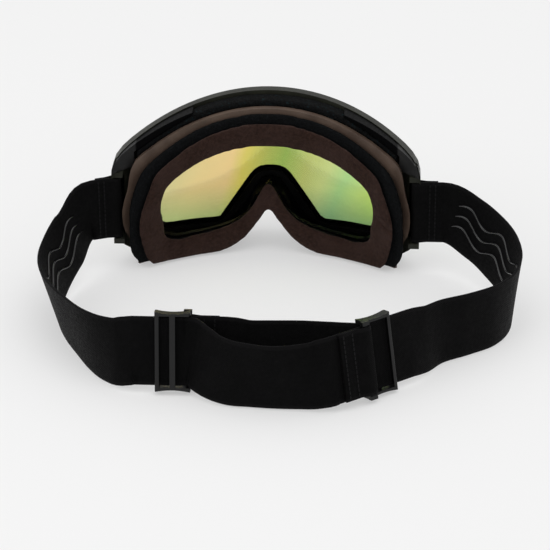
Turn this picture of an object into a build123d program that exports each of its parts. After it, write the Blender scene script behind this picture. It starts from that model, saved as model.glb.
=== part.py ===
"""Ski goggles: a curved double lens in a frame with a foam face seal and an adjustable elastic strap.

The goggles stand on the lower edge of the frame and of the strap.  +Z is up, the lens faces -Y, the
wearer's left is +X, and the origin lies on the resting plane in the frame's centre plane, half way
between the lens and the back of the strap.  All sizes are in millimetres.
"""

import os
from math import asin, atan2, cos, degrees, pi, radians, sin, sqrt

from build123d import *

os.makedirs("parts", exist_ok=True)

# ---- Frame: outline seen from the front ------------------------------------------------------
FRAME_HEIGHT = 98.0  # resting plane to the top of the rim
FRAME_HALF_WIDTH = 93.0
BROW_RADIUS = 184.0  # top edge of the frame
RIM_LIP = 1.4  # lip that surrounds the lens module
FLANGE_HEIGHT = 92.9
FLANGE_BROW_RADIUS = 145.0
BASE_HEIGHT = 89.5  # of the foam between the flange and the fleece
BASE_BROW_RADIUS = 125.0
FOAM_HEIGHT = 85.2
FOAM_BROW_RADIUS = 109.0
NOSE_TOP = 34.0  # top of the frame's nose arch
REACH = 150.0  # longer than the frame is deep
OUTLINE_POINTS = 104  # short straight edges that follow each outline
HALF_SPAN = 94.5  # half-width of the plan curves, just past the frame's side

# ---- Frame: plan curves, each an upright cylinder given by its foremost Y and its radius -------
LENS_FRONT = -114.0
LENS_RADIUS = 115.0
LENS_CENTRE_Y = LENS_FRONT + LENS_RADIUS
OUTER_LENS = 1.5
INNER_LENS = 0.9
SPACER = 2.0
CARRIER = 3.1
SPACER_BAND = 2.6  # width of the spacer round the clear area
LENS_GAP = 0.3  # between the lens module and its seat
SEAT_PLATE = 3.4
FLANGE_FRONT = -93.0
FLANGE_RADIUS = 122.0
FLANGE_DEPTH = 4.0
FOAM_RADIUS = 113.0
FLEECE_FRONT = -84.0
FLEECE_BACK = -79.0
WALL = 2.2

# ---- Strap --------------------------------------------------------------------------------------
SIDE = {"left": 1, "right": -1}
WEB_WIDTH = 40.0
WEB_THICKNESS = 1.6
PIN_X = 90.6
PIN_Y = -57.0
PIN_RADIUS = 1.25
PIN_WRAP = PIN_RADIUS + 0.1 + WEB_THICKNESS / 2  # pin axis to the middle of the webbing round it
STRAP_HEIGHT = 41.0  # middle of the webbing where it leaves the frame
HEM = 13.0  # length of the turned-back end sewn behind each pin
HEM_ANGLE = {"left": 22.0, "right": 180.0}  # heading of the webbing as it leaves each pin

# ---- Sliders, in their own frame: X along the webbing, Y to the side of the sewn end ------------
SLIDER_WIDTH = 20.0
SLIDER_HEIGHT = 46.4
SLIDER_SLOT = 2.6
SLIDER_BAR = 1.8
SLIDER_CLEAR = 0.8  # between the webbing's edge and the slider's rail
SLIDER_DIP = 1.1  # how far its top and bottom edges dip in the middle
SLIDER_EDGE = 1.0  # rounding of its upright edges
SLIDER_WINDOWS = [(-7.6, -1.6), (1.6, 13.6)]  # X spans of the openings on the wearer's side
SLIDER_OPENING = (-7.6, 20.0)  # X span of the opening on the side of the sewn end
EAR_WIDTH = 4.6
EAR_HEIGHT = 2.3
EAR_DROP = 1.35  # from the slider's end to the middle of each ear
EAR_DEPTH = 1.5  # of each ear beyond the middle of the sewn bar
SEWN_BAR_X = 8.35
SEWN_BAR_Y = 4.4
SEWN_BAR_WIDTH = 2.8
SEWN_BAR_DEPTH = 2.2
SEWN_BAR_EDGE = 0.9
SEWN_WRAP = 2.05
SEWN_TURN = 7.9  # X where the webbing starts to turn round the bar
SEWN_NECK = 10.6
SEWN_JOIN = 15.0
SEWN_TIP = 26.0
SEWN_END = 30.0  # where the sewn end meets the rest of its strap
SLIDER_PLACE = {
    "left": {"centre": (44.0, 91.5, 23.85), "heading": 180.0, "lean": -13.0},
    "right": {"centre": (-70.0, 89.5, 23.3), "heading": 37.0, "lean": -12.0},
}
SLIDE_TRAVEL = 12.0
STRAIGHT = SLIDER_WIDTH / 2 + SLIDE_TRAVEL + 1  # straight webbing before a slider's middle
STRAIGHT_BEYOND = {"left": 6.0, "right": 3.0}
STITCH_RAISE = 0.3
STITCH_WIDTH = 0.7
STITCH_LENGTH = 1.9
STITCH_PITCH = 2.7
STITCH_ROWS = 14
HEM_STITCHES = (8.2, 11.6)  # X of the two columns in the hem
SEWN_STITCHES = (17.5, 23.5)  # and in the sewn end
LAYER_GAP = 0.02  # between two layers of webbing that touch
HEM_LAYER = (WEB_THICKNESS + LAYER_GAP) / 2
HEM_NECK = 6.5  # where the layers part to go round the pin
HEM_SHOULDER = 1.2
WEB_STEP = 5.0  # between the sections along a curved stretch

# Middle line of each webbing: x, y, z and how far the top edge leans outward, in degrees.
LEFT_RUN = [
    (117.4, -31.0, 30.0, 11),
    (123.3, -11.0, 23.3, 15),
    (124.7, 6.0, 20.3, 16),
    (121.6, 24.0, 19.8, 15),
    (115.0, 40.5, 19.9, 13),
    (105.6, 57.0, 20.0, 10),
    (93.5, 74.7, 20.1, 4),
    (83.5, 84.6, 20.6, -3),
    (75.0, 90.3, 21.9, -9),
]
LEFT_LAYER = [
    (33.0, 93.1, 24.5, -13),
    (28.6, 98.2, 23.8, -12),
    (22.5, 103.0, 21.8, -9),
    (13.0, 108.0, 20.5, -5),
    (1.0, 110.8, 20.3, 0),
    (-13.0, 112.7, 20.3, 2),
    (-27.0, 112.3, 20.7, -2),
    (-37.5, 111.6, 21.6, -8),
]
RIGHT_RUN = [
    (-126.5, -46.0, 34.6, 7),
    (-138.0, -32.0, 30.0, 11),
    (-146.3, -16.0, 25.5, 10),
    (-149.6, 2.0, 22.0, 7),
    (-146.3, 20.0, 20.4, 4),
    (-137.0, 34.5, 20.1, 1),
    (-122.5, 45.5, 20.1, 0),
    (-106.5, 55.5, 20.3, -3),
    (-96.5, 68.3, 21.7, -8),
]
RIGHT_LAYER = [
    (-61.0, 92.5, 22.9, -12),
    (-52.5, 90.4, 22.0, -10),
    (-43.0, 88.0, 21.2, -9),
    (-28.0, 86.8, 21.0, -9),
    (-10.0, 87.6, 21.0, -10),
    (3.0, 88.9, 21.4, -12),
]

# ---- Grip beads on the inside of the strap ------------------------------------------------------
BEAD_WIDTH = 1.6
BEAD_HEIGHT = 0.8
BEAD_SPACING = 7.5
BEAD_WAVE = 30.0  # length of one wave
BEAD_SWING = 3.2
BEAD_STEP = 2.5
BEAD_SPAN = {"left": (5, 46), "right": (3, 52)}  # first and last step along the webbing

# ---- Chassis details -----------------------------------------------------------------------------
LIP_FRONT = 2.4  # front edge of the lip, behind the lens's front face
WINDOW_LOW = STRAP_HEIGHT - WEB_WIDTH / 2 - 0.6
WINDOW_HIGH = STRAP_HEIGHT + WEB_WIDTH / 2 + 0.6
LUG = 3.2
LUG_X = 92.9
LUG_INNER_X = 86.4
LUG_FRONT = -60.6
LUG_BACK = -53.5
PIN_SEAT = 1.5  # thickness of lug left below each pin
COVER_LOW = WINDOW_HIGH + LUG + 0.1  # lower edge of the corner covers
# The corner covers' edge towards the middle, x and z: a long wedge under the rim, then straight down.
COVER_EDGE = [(46.0, 90.4), (80.0, 74.2), (80.0, COVER_LOW)]
CHANNEL_FOAM = 1.6  # the foam strip lies so far inside the frame's edge
FIT = 0.1  # between parts that are put together
TOP_VENTS = (11.0, 33.0, 54.0)
BOTTOM_VENTS = (50.0, 62.0)
TOP_VENT_LENGTH = 17.0
BOTTOM_VENT_LENGTH = 8.0
BOTTOM_VENT_DEPTH = 9.0
VENT_WIDTH = 3.6
WALL_INSET = 1.2  # of the wall inside the flange's edge
COVER_INSET = 0.6  # of the corner covers inside the frame's edge
PRESS = 0.02  # between parts pressed together

MAGNET_RADIUS = 2.0
MAGNET_DEPTH = 1.4
MAGNET_SKIN = 0.5  # of the carrier over each magnet
MAGNET_FIT = 0.05
# Middle of each magnet pair on the right half of the frame: x and z.
MAGNET_SITES = [(24.0, 92.0), (62.0, 83.2), (86.6, 63.0), (70.0, 6.2)]


def keep(part, name):
    """Label a finished piece and write it as its own file."""
    part.label = name
    export_step(part, f"parts/{name}.step")
    return part


def crown(top, radius, x):
    """Height at x of a brow arc whose highest point is top."""
    return top - radius + sqrt(radius * radius - x * x)


def brow(top, radius, x):
    """Arc from the centre plane out to x, and the direction in which it ends."""
    ThreePointArc((0, top), (x / 2, crown(top, radius, x / 2)), (x, crown(top, radius, x)))
    slope = asin(x / radius)
    return (cos(slope), -sin(slope))


def flange_y(x):
    """Y of the flange's front face at x."""
    return FLANGE_FRONT + FLANGE_RADIUS - sqrt(FLANGE_RADIUS**2 - x * x)


def closed(half, grow):
    """Face inside half an outline and its mirror image, grown by so much, with short straight edges."""
    with BuildSketch() as filled:
        make_face(half.line + mirror(half.line, about=Plane.YZ))
        if grow:
            offset(amount=grow)
    edge = filled.sketch_local.face().outer_wire()
    return Face(Wire.make_polygon([edge @ (k / OUTLINE_POINTS) for k in range(OUTLINE_POINTS)]))


def frame_outline(grow=0.0):
    """Outer edge of the frame, with the nose arch between its two lobes."""
    with BuildLine(mode=Mode.PRIVATE) as half:
        end = brow(FRAME_HEIGHT, BROW_RADIUS, 83)
        shoulder = (83, crown(FRAME_HEIGHT, BROW_RADIUS, 83))
        Spline(shoulder, (91, 72), (FRAME_HALF_WIDTH, 62), tangents=[end, (0, -1)])
        Line((FRAME_HALF_WIDTH, 62), (FRAME_HALF_WIDTH, 38))
        Spline((FRAME_HALF_WIDTH, 38), (89, 16), (78, 3), (66, 0), tangents=[(0, -1), (-1, 0)])
        Line((66, 0), (44, 0))
        Spline((44, 0), (25, 6.5), (12, 23), (0, NOSE_TOP), tangents=[(-1, 0), (-1, 0)])
    return closed(half, grow)


def flange_outline(grow=0.0):
    """Outer edge of the rear flange, which bulges beside the strap."""
    with BuildLine(mode=Mode.PRIVATE) as half:
        end = brow(FLANGE_HEIGHT, FLANGE_BROW_RADIUS, 71)
        shoulder = (71, crown(FLANGE_HEIGHT, FLANGE_BROW_RADIUS, 71))
        side = [(79.3, 69.3), (82.6, 61), (84, 52), (86.6, 43), (87.1, 34), (85.6, 25), (82.6, 17), (80.6, 9)]
        Spline(shoulder, *side, (76.5, 2.6), (69, 0), tangents=[end, (-1, 0)])
        Line((69, 0), (42, 0))
        Spline((42, 0), (23, 6), (10, 21), (0, 33), tangents=[(-1, 0), (-1, 0)])
    return closed(half, grow)


def base_outline():
    """Outer edge of the foam under the fleece."""
    with BuildLine(mode=Mode.PRIVATE) as half:
        end = brow(BASE_HEIGHT, BASE_BROW_RADIUS, 64)
        shoulder = (64, crown(BASE_HEIGHT, BASE_BROW_RADIUS, 64))
        side = [(75.6, 63.5), (80.2, 53), (83.2, 41.5), (83.4, 31), (81.6, 19), (78.4, 8)]
        Spline(shoulder, *side, (74.5, 2), (68, 0.2), tangents=[end, (-1, 0)])
        Line((68, 0.2), (42, 0.2))
        Spline((42, 0.2), (22.6, 3.6), (12.2, 11.6), (5.4, 20.5), (0, 30), tangents=[(-1, 0), (-0.45, 1)])
    return closed(half, 0)


def foam_outline():
    """Outer edge of the fleece, with its narrow notch for the nose."""
    with BuildLine(mode=Mode.PRIVATE) as half:
        end = brow(FOAM_HEIGHT, FOAM_BROW_RADIUS, 57)
        shoulder = (57, crown(FOAM_HEIGHT, FOAM_BROW_RADIUS, 57))
        Spline(shoulder, (66.3, 63), (71.8, 52), (76, 40), (77.3, 28), tangents=[end, (0, -1)])
        Spline((77.3, 28), (75.2, 14), (71.4, 3), (66.5, 0.2), tangents=[(0, -1), (-1, 0)])
        Line((66.5, 0.2), (42, 0.2))
        Spline((42, 0.2), (22.6, 3.6), (12.2, 11.6), (5.4, 20.5), (0, 30), tangents=[(-1, 0), (-0.45, 1)])
    return closed(half, 0)


def foam_opening(grow=0.0):
    """Inner edge of the face seal."""
    with BuildLine(mode=Mode.PRIVATE) as half:
        end = brow(72.6, 92, 52)
        shoulder = (52, crown(72.6, 92, 52))
        side = [(60.5, 49.5), (63.3, 41), (63.4, 32), (62, 23)]
        Spline(shoulder, *side, (58.5, 16), tangents=[end, (-1, -0.5)])
        low = [(50, 15.3), (40, 16), (28, 18.4), (16.4, 24.2), (9.6, 33.5), (4.8, 43)]
        Spline((58.5, 16), *low, (0, 47.4), tangents=[(-1, -0.5), (-1, 0.3)])
    return closed(half, grow)


def seat_opening():
    """Inner edge of the plate that the lens module seats on."""
    with BuildLine(mode=Mode.PRIVATE) as half:
        end = brow(89, 170, 71)
        shoulder = (71, crown(89, 170, 71))
        Spline(shoulder, (80.5, 64), (82.3, 50), (81.5, 30), (74, 13.2), (61, 9), tangents=[end, (-1, 0)])
        low = [(39, 8), (29, 9.9), (21, 15.2), (13.7, 25.3), (8, 35)]
        Spline((61, 9), *low, (0, 39.4), tangents=[(-1, 0), (-1, 0)])
    return closed(half, 0)


def view_opening(grow=0.0):
    """Clear area of the lens inside its dark border."""
    with BuildLine(mode=Mode.PRIVATE) as half:
        end = brow(85, 165, 66)
        shoulder = (66, crown(85, 165, 66))
        Spline(shoulder, (76, 60), (78, 46), (76, 30), (68, 18), (58, 12.3), tangents=[end, (-1, -0.1)])
        Line((58, 12.3), (32.4, 10.4))
        Line((32.4, 10.4), (13, 38.8))
        Spline((13, 38.8), (8.2, 43.4), (0, 44.8), tangents=[(-0.6, 0.8), (-1, 0)])
    return closed(half, grow)


def plan_band(front, front_radius, back, back_radius):
    """Face in plan between two arcs, each given by its foremost Y and its radius."""

    def arc(foremost, radius):
        middle = foremost + radius
        side = middle - sqrt(radius * radius - HALF_SPAN * HALF_SPAN)
        return ThreePointArc((-HALF_SPAN, side), (0, foremost), (HALF_SPAN, side))

    with BuildLine(mode=Mode.PRIVATE) as edge:
        ahead = arc(front, front_radius)
        behind = arc(back, back_radius)
        Line(ahead @ 0, behind @ 0)
        Line(ahead @ 1, behind @ 1)
    make_face(edge.line)


def curved_layer(outline, opening, front, front_radius, back, back_radius):
    """Ring with the given outline and opening, bent round between two upright cylinders."""
    with BuildPart() as layer:
        with BuildSketch(Plane.XY.offset(-10)):
            plan_band(front, front_radius, back, back_radius)
        extrude(amount=FRAME_HEIGHT + 20)
        with BuildSketch(Plane.XZ):
            add(outline)
        extrude(amount=REACH, both=True, mode=Mode.INTERSECT)
        if opening:
            with BuildSketch(Plane.XZ):
                add(opening)
            extrude(amount=REACH, both=True, mode=Mode.SUBTRACT)
    return layer.part


def lens_layer(outline, opening, depth, thickness):
    """Ring or sheet that lies so deep behind the lens's front face, on the lens's own centre."""
    radius = LENS_RADIUS - depth
    front = LENS_FRONT + depth
    return curved_layer(outline, opening, front, radius, front + thickness, radius - thickness)


def magnet_pins(depth, radius, length):
    """Short rods that stand out square from the lens surface so deep behind the lens's front face."""
    surface = LENS_RADIUS - depth
    with BuildPart() as rods:
        for x, z in MAGNET_SITES:
            reach = sqrt(surface * surface - x * x)
            for side in (-1, 1):
                foot = (side * x, LENS_CENTRE_Y - reach, z)
                with BuildSketch(Plane(origin=foot, x_dir=(0, 0, 1), z_dir=(side * x, -reach, 0))):
                    Circle(radius)
                extrude(amount=length)
    return rods.part


def side_block(x_low, x_high, y_low, y_high, z_low, z_high):
    """Upright block on the left side and its mirror image on the right."""
    with BuildPart() as blocks:
        with BuildSketch(Plane.XY.offset(z_low)):
            for side in (-1, 1):
                with Locations((side * (x_low + x_high) / 2, (y_low + y_high) / 2)):
                    Rectangle(x_high - x_low, y_high - y_low)
        extrude(amount=z_high - z_low)
    return blocks.part


def halves(part, name):
    """Write the +X half of a mirrored pair of solids as left and the other as right."""
    for side, word in ((1, "left"), (-1, "right")):
        solids = [solid for solid in part.solids() if solid.center().X * side > 0]
        keep(Part() + solids, f"{name}_{word}")


# ---- Lens module -----------------------------------------------------------------------------
INNER_DEPTH = OUTER_LENS + SPACER
CARRIER_BACK = OUTER_LENS + CARRIER
SEAT_FRONT = CARRIER_BACK + LENS_GAP
SEAT_BACK = SEAT_FRONT + SEAT_PLATE

lens_edge = frame_outline(-RIM_LIP - LENS_GAP)
spacer_edge = view_opening(SPACER_BAND)
keep(lens_layer(lens_edge, None, 0, OUTER_LENS), "lens_outer")
keep(lens_layer(spacer_edge, view_opening(), OUTER_LENS, SPACER), "lens_spacer")
keep(lens_layer(spacer_edge, None, INNER_DEPTH, INNER_LENS), "lens_inner")

with BuildPart() as lens_carrier:
    add(lens_layer(lens_edge, view_opening(SPACER_BAND + LENS_GAP), OUTER_LENS, CARRIER))
    sockets = magnet_pins(CARRIER_BACK - MAGNET_SKIN, MAGNET_RADIUS + MAGNET_FIT, MAGNET_DEPTH)
    add(sockets, mode=Mode.SUBTRACT)
keep(lens_carrier.part, "lens_carrier")
keep(magnet_pins(CARRIER_BACK - MAGNET_SKIN, MAGNET_RADIUS, MAGNET_DEPTH), "lens_magnets")

# ---- Chassis ---------------------------------------------------------------------------------
channel_front = LENS_FRONT + SEAT_BACK
channel_radius = LENS_RADIUS - SEAT_BACK


def vent_places(sites):
    """Where the air slots lie in plan: midway along the channel, and turned to follow it."""
    places = []
    for x in sites:
        ahead = LENS_CENTRE_Y - sqrt(channel_radius**2 - x * x)
        for side in (-1, 1):
            turn = side * degrees(asin(x / LENS_RADIUS))
            places.append(Location((side * x, (ahead + flange_y(x)) / 2, 0), (0, 0, turn)))
    return places


with BuildPart() as frame_chassis:
    # Seat plate behind the lens module, and the lip round the module.
    add(lens_layer(frame_outline(), seat_opening(), SEAT_FRONT, SEAT_PLATE))
    add(lens_layer(frame_outline(), frame_outline(-RIM_LIP), LIP_FRONT, SEAT_FRONT - LIP_FRONT))
    # Wall from the seat plate back to the flange.
    wall = (flange_outline(-WALL_INSET), flange_outline(-WALL_INSET - WALL))
    add(curved_layer(*wall, channel_front, channel_radius, FLANGE_FRONT, FLANGE_RADIUS))
    # Lugs that carry the strap pins, above and below the window for the webbing.
    for low in (WINDOW_LOW - LUG, WINDOW_HIGH):
        add(side_block(LUG_INNER_X, LUG_X, LUG_FRONT, LUG_BACK, low, low + LUG))
    window = side_block(LUG_INNER_X, REACH, -75, -45, WINDOW_LOW, WINDOW_HIGH)
    add(window, mode=Mode.SUBTRACT)
    with BuildSketch(Plane.XY.offset(WINDOW_LOW - LUG + PIN_SEAT)):
        with Locations((PIN_X, PIN_Y), (-PIN_X, PIN_Y)):
            Circle(PIN_RADIUS)
    extrude(amount=REACH, mode=Mode.SUBTRACT)
    magnet_holes = magnet_pins(SEAT_FRONT + MAGNET_DEPTH, MAGNET_RADIUS + MAGNET_FIT, MAGNET_DEPTH + 1)
    add(magnet_holes, mode=Mode.SUBTRACT)
    # Air slots through the top and bottom walls.
    with BuildSketch(Plane.XY.offset(FRAME_HEIGHT / 2)):
        with Locations(*vent_places(TOP_VENTS)):
            SlotOverall(TOP_VENT_LENGTH, VENT_WIDTH)
    extrude(amount=REACH, mode=Mode.SUBTRACT)
    with BuildSketch():
        with Locations(*vent_places(BOTTOM_VENTS)):
            SlotOverall(BOTTOM_VENT_LENGTH, VENT_WIDTH)
    extrude(amount=BOTTOM_VENT_DEPTH, mode=Mode.SUBTRACT)
keep(frame_chassis.part, "frame_chassis")
keep(magnet_pins(SEAT_FRONT + MAGNET_DEPTH, MAGNET_RADIUS, MAGNET_DEPTH), "frame_magnets")

# ---- Corner covers, strap pins, flange and foam ----------------------------------------------
# Both the covers and the foam strip fill the channel between the seat plate and the flange.
channel = (channel_front + PRESS, channel_radius - PRESS, FLANGE_FRONT - FIT, FLANGE_RADIUS)

with BuildPart() as corner_covers:
    add(curved_layer(frame_outline(-COVER_INSET), flange_outline(-1.0), *channel))
    with BuildSketch(Plane.XZ) as cover_area:
        Polygon(*COVER_EDGE, (REACH, COVER_LOW), (REACH, REACH), (COVER_EDGE[0][0], REACH), align=None)
        mirror(about=Plane.YZ)
    extrude(amount=REACH, both=True, mode=Mode.INTERSECT)

with BuildPart() as strap_pins:
    with BuildSketch(Plane.XY.offset(WINDOW_LOW - LUG + PIN_SEAT + FIT)):
        with Locations((PIN_X, PIN_Y), (-PIN_X, PIN_Y)):
            Circle(PIN_RADIUS - PRESS)
    extrude(amount=WINDOW_HIGH - WINDOW_LOW + 2 * LUG - PIN_SEAT - 3 * FIT)

halves(corner_covers.part, "corner_cover")
halves(strap_pins.part, "strap_pin")

flange_back = FLANGE_FRONT + FLANGE_DEPTH
flange_layer = (FLANGE_FRONT, FLANGE_RADIUS, flange_back, FLANGE_RADIUS)
base_layer = (flange_back, FLANGE_RADIUS, FLEECE_FRONT, FOAM_RADIUS)
fleece_layer = (FLEECE_FRONT, FOAM_RADIUS, FLEECE_BACK, FOAM_RADIUS)
keep(curved_layer(flange_outline(), foam_opening(3.0), *flange_layer), "rear_flange")
keep(curved_layer(base_outline(), foam_opening(1.5), *base_layer), "foam_base")
keep(curved_layer(foam_outline(), foam_opening(), *fleece_layer), "face_fleece")

# Foam strip in the channel over the air slots, from one corner cover to the other.
with BuildPart() as vent_foam:
    add(curved_layer(frame_outline(-CHANNEL_FOAM), flange_outline(-1.15), *channel))
    with BuildSketch(Plane.XZ) as foam_area:
        (wedge_x, wedge_z), (end_x, end_z), _ = COVER_EDGE
        gap = 3 * FIT
        edge = [(wedge_x, wedge_z - gap), (end_x - gap, end_z - gap), (end_x - gap, COVER_LOW)]
        Polygon(*edge, (0, COVER_LOW), (0, REACH), (wedge_x, REACH), align=None)
        mirror(about=Plane.YZ)
    extrude(amount=REACH, both=True, mode=Mode.INTERSECT)
keep(vent_foam.part, "vent_foam_top")

with BuildPart() as bottom_foam:
    with BuildSketch(Plane.XY.offset(WALL_INSET + FIT)):
        with Locations(*vent_places(BOTTOM_VENTS)):
            SlotOverall(BOTTOM_VENT_LENGTH - 2 * FIT, VENT_WIDTH - 2 * FIT)
    extrude(amount=WALL - 3 * FIT)
keep(bottom_foam.part, "vent_foam_bottom")

# ---- Sliders and the sewn ends that ride on them ---------------------------------------------
HALF_WEB = WEB_WIDTH / 2
SLOT_TOP = HALF_WEB + SLIDER_CLEAR
FACE_Y = SLIDER_SLOT / 2 + SLIDER_BAR


def width_direction(heading, lean, side):
    """Direction of the webbing's width where its top edge leans outward by so many degrees."""
    turn = radians(heading)
    outward = Vector(side * sin(turn), -side * cos(turn), 0)
    return outward * sin(radians(lean)) + Vector(0, 0, cos(radians(lean)))


def slider_plane(word):
    """Frame of one slider: X along the webbing to the middle of the strap, Z along its width."""
    place = SLIDER_PLACE[word]
    turn = radians(place["heading"])
    width = width_direction(place["heading"], place["lean"], SIDE[word])
    return Plane(origin=place["centre"], x_dir=(cos(turn), sin(turn), 0), z_dir=width)


def slider():
    """Three-bar slider, in its own frame."""
    half, high = SLIDER_WIDTH / 2, SLIDER_HEIGHT / 2
    ear = high - EAR_DROP
    with BuildPart() as body:
        with BuildSketch(Plane.XZ):
            with BuildLine():
                ThreePointArc((-half, high), (0, high - SLIDER_DIP), (half, high))
                ThreePointArc((-half, -high), (0, SLIDER_DIP - high), (half, -high))
                Line((-half, high), (-half, -high))
                Line((half, high), (half, -high))
            make_face()
        extrude(amount=FACE_Y, both=True)
        fillet(body.edges().filter_by(Axis.Z), SLIDER_EDGE)
        # Ears that carry the sewn bar.
        with BuildSketch(Plane.XZ.offset(-FACE_Y)):
            with Locations((SEWN_BAR_X, ear), (SEWN_BAR_X, -ear)):
                Rectangle(EAR_WIDTH, EAR_HEIGHT)
        extrude(amount=FACE_Y - SEWN_BAR_Y - EAR_DEPTH)
        # Passage for the webbing, and the windows between the bars.
        with BuildSketch(Plane.YZ):
            Rectangle(SLIDER_SLOT, 2 * SLOT_TOP)
        extrude(amount=SLIDER_WIDTH, both=True, mode=Mode.SUBTRACT)
        for spans, depth in ((SLIDER_WINDOWS, SLIDER_WIDTH), ([SLIDER_OPENING], -SLIDER_WIDTH)):
            with BuildSketch(Plane.XZ):
                for low, top in spans:
                    with Locations(((low + top) / 2, 0)):
                        Rectangle(top - low, 2 * SLOT_TOP)
            extrude(amount=depth, mode=Mode.SUBTRACT)
        with BuildSketch(Plane.XY.offset(-SLOT_TOP)):
            with Locations((SEWN_BAR_X, SEWN_BAR_Y)):
                RectangleRounded(SEWN_BAR_WIDTH, SEWN_BAR_DEPTH, SEWN_BAR_EDGE)
        extrude(amount=2 * SLOT_TOP)
    return body.part


def sewn_end():
    """Webbing end folded round the slider's sewn bar, in the slider's frame."""
    low = SEWN_BAR_Y - SEWN_WRAP
    high = SEWN_BAR_Y + SEWN_WRAP
    back = low + WEB_THICKNESS + LAYER_GAP
    with BuildPart() as fold:
        with BuildSketch(Plane.XY.offset(-HALF_WEB)):
            with BuildLine():
                Polyline((SEWN_END, low), (SEWN_TURN, low))
                ThreePointArc((SEWN_TURN, low), (SEWN_TURN - SEWN_WRAP, SEWN_BAR_Y), (SEWN_TURN, high))
                Polyline((SEWN_TURN, high), (SEWN_NECK, high), (SEWN_JOIN, back), (SEWN_TIP, back))
            trace(line_width=WEB_THICKNESS)
        extrude(amount=WEB_WIDTH)
    return fold.part


def stitches(columns, low, high):
    """Two rows of short stitches on both faces of a doubled webbing, in its own frame."""
    rows = [STITCH_PITCH * (n - (STITCH_ROWS - 1) / 2) for n in range(STITCH_ROWS)]
    with BuildPart() as thread:
        with Locations(*[(x, face, z) for x in columns for face in (low, high) for z in rows]):
            Box(STITCH_WIDTH, STITCH_RAISE, STITCH_LENGTH)
    return thread.part


for word in ("left", "right"):
    place = slider_plane(word).location
    keep(place * slider(), f"slider_{word}")
    keep(place * sewn_end(), f"strap_end_{word}")
    low = SEWN_BAR_Y - SEWN_WRAP - (WEB_THICKNESS + STITCH_RAISE) / 2
    high = low + 2 * WEB_THICKNESS + LAYER_GAP + STITCH_RAISE
    keep(place * stitches(SEWN_STITCHES, low, high), f"end_stitching_{word}")

# ---- Strap -----------------------------------------------------------------------------------
def across(point, tangent, width):
    """Plane of a section across the webbing, its Y along the webbing's width."""
    upright = (width - tangent * width.dot(tangent)).normalized()
    return Plane(origin=point, x_dir=upright.cross(tangent), z_dir=tangent)


def slopes(values, gaps, start, end):
    """Slope at each value of a smooth curve that passes through them all."""
    inner = []
    for k in range(1, len(values) - 1):
        before = (values[k] - values[k - 1]) * (gaps[k] / gaps[k - 1])
        after = (values[k + 1] - values[k]) * (gaps[k - 1] / gaps[k])
        inner.append((before + after) * (1 / (gaps[k - 1] + gaps[k])))
    return [start, *inner, end]


def course(stations, start, end, side, step):
    """Section planes along the smooth curve through the stations, from one direction to another."""
    points = [Vector(*station[:3]) for station in stations]
    leans = [station[3] for station in stations]
    gaps = [(after - before).length for before, after in zip(points, points[1:])]
    point_slopes = slopes(points, gaps, start, end)
    lean_slopes = slopes(leans, gaps, 0, 0)
    sections = []
    for k, gap in enumerate(gaps):
        count = max(2, round(gap / step))
        for n in range(count + (k == len(gaps) - 1)):
            t = n / count
            u = 1 - t
            weights = (1 + 2 * t) * u * u, t * u * u * gap, t * t * (3 - 2 * t), -t * t * u * gap
            rates = -6 * t * u / gap, u * (1 - 3 * t), 6 * t * u / gap, t * (3 * t - 2)
            terms = points[k], point_slopes[k], points[k + 1], point_slopes[k + 1]
            lean_terms = leans[k], lean_slopes[k], leans[k + 1], lean_slopes[k + 1]
            place = sum((term * weight for term, weight in zip(terms, weights)), Vector())
            heading = sum((term * rate for term, rate in zip(terms, rates)), Vector()).normalized()
            lean = sum(term * weight for term, weight in zip(lean_terms, weights))
            width = width_direction(degrees(atan2(heading.Y, heading.X)), lean, side)
            sections.append(across(place, heading, width))
    return sections


def hem_plane(word):
    """Frame of the sewn hem at a pin: X along the webbing as it leaves."""
    turn = radians(HEM_ANGLE[word])
    return Plane(
        origin=(SIDE[word] * PIN_X, PIN_Y, STRAP_HEIGHT),
        x_dir=(cos(turn), sin(turn), 0),
        z_dir=(0, 0, 1),
    )


def hem_sections(word):
    """Section planes from the turned-back end of the hem, round the pin and out of the hem again."""
    frame, side = hem_plane(word), SIDE[word]
    tilt = degrees(atan2(PIN_WRAP - HEM_LAYER, HEM_NECK - HEM_SHOULDER)) / 2
    back = [
        (HEM, -HEM_LAYER, 180),
        (HEM_NECK, -HEM_LAYER, 180 + tilt),
        (HEM_SHOULDER, -PIN_WRAP, 180 + tilt),
    ]
    loop = [
        (PIN_WRAP * cos(radians(turn)), PIN_WRAP * sin(radians(turn)), turn - 90)
        for turn in range(270, 89, -30)
    ]
    away = [(x, -y, 180 - heading) for x, y, heading in reversed(back)]
    sections = []
    for x, y, heading in back + loop + away:
        turn = radians(HEM_ANGLE[word] + side * heading)
        place = frame.from_local_coords(Vector(x, side * y, 0))
        sections.append(across(place, Vector(cos(turn), sin(turn), 0), Vector(0, 0, 1)))
    return sections


def grip_beads(sections, side):
    """Wavy beads on the wearer's side of the webbing that has these sections."""
    with BuildPart() as beads:
        for row in (-1, 0, 1):
            travelled = 0
            with BuildPart(mode=Mode.PRIVATE) as bead:
                for before, section in zip(sections, sections[1:]):
                    travelled += (section.origin - before.origin).length
                    swing = BEAD_SWING * sin(2 * pi * travelled / BEAD_WAVE)
                    centre = (side * (WEB_THICKNESS + BEAD_HEIGHT) / 2, row * BEAD_SPACING + swing)
                    with BuildSketch(section):
                        with Locations(centre):
                            Rectangle(BEAD_HEIGHT, BEAD_WIDTH)
                loft(ruled=True)
            add(bead.part)
    return beads.part


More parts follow.
